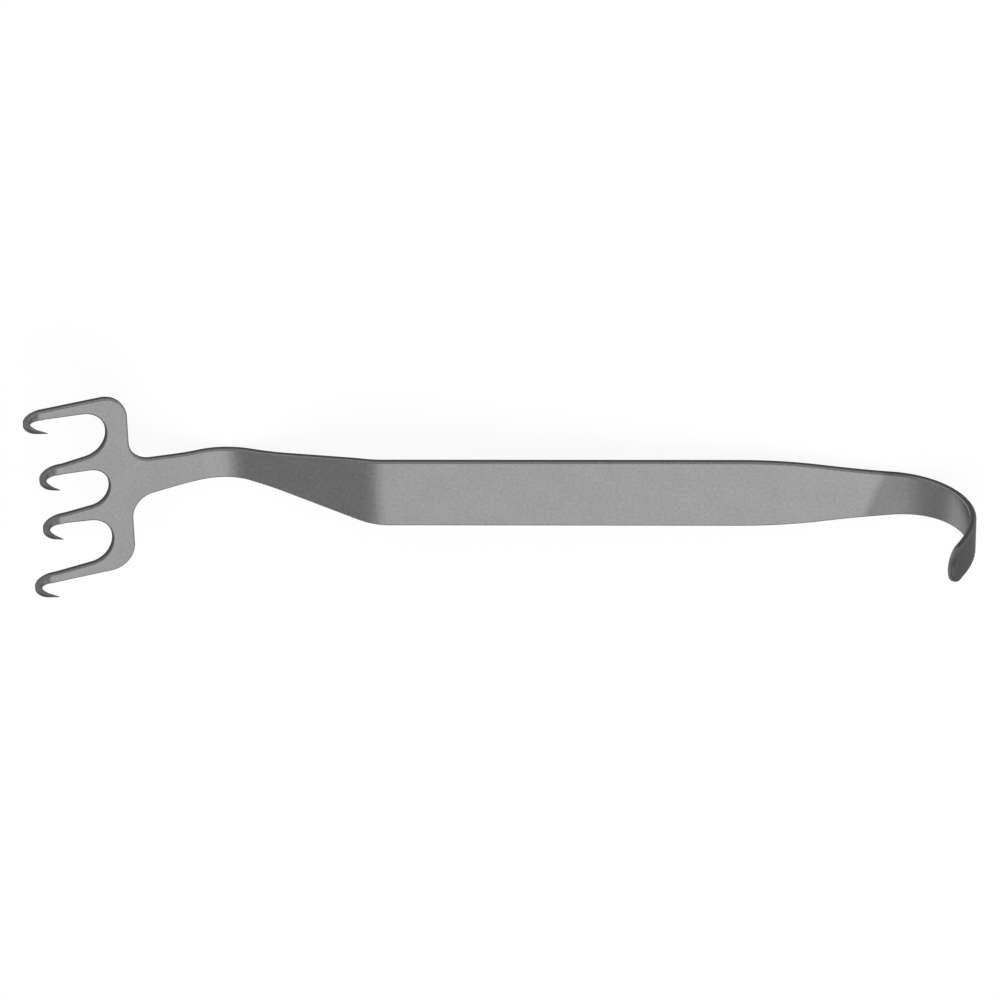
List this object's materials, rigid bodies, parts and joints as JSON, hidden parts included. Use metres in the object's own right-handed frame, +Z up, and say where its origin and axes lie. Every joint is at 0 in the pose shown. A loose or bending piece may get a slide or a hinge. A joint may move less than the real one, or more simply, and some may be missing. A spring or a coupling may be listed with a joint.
{
  "type": "surgical retractor",
  "caption": "One-piece hand-held surgical retractor: a rake of sharp hooked prongs on an offset neck, a flat handle, and a curled finger hook.",
  "frame": {"origin": "on the table, under the middle of the part's box as it lies on its back", "axes": "+X from the rake to the finger hook, Y across the strip, +Z up, the way that the hooks curl"},
  "size_m": [0.191, 0.0402, 0.0311],
  "materials": {
    "satin_steel": "fine even satin, matt, with a faint mottled grain and no brushing lines to be seen"
  },
  "bodies": {
    "root": {"retractor": "satin_steel"}
  },
  "joints": []
}
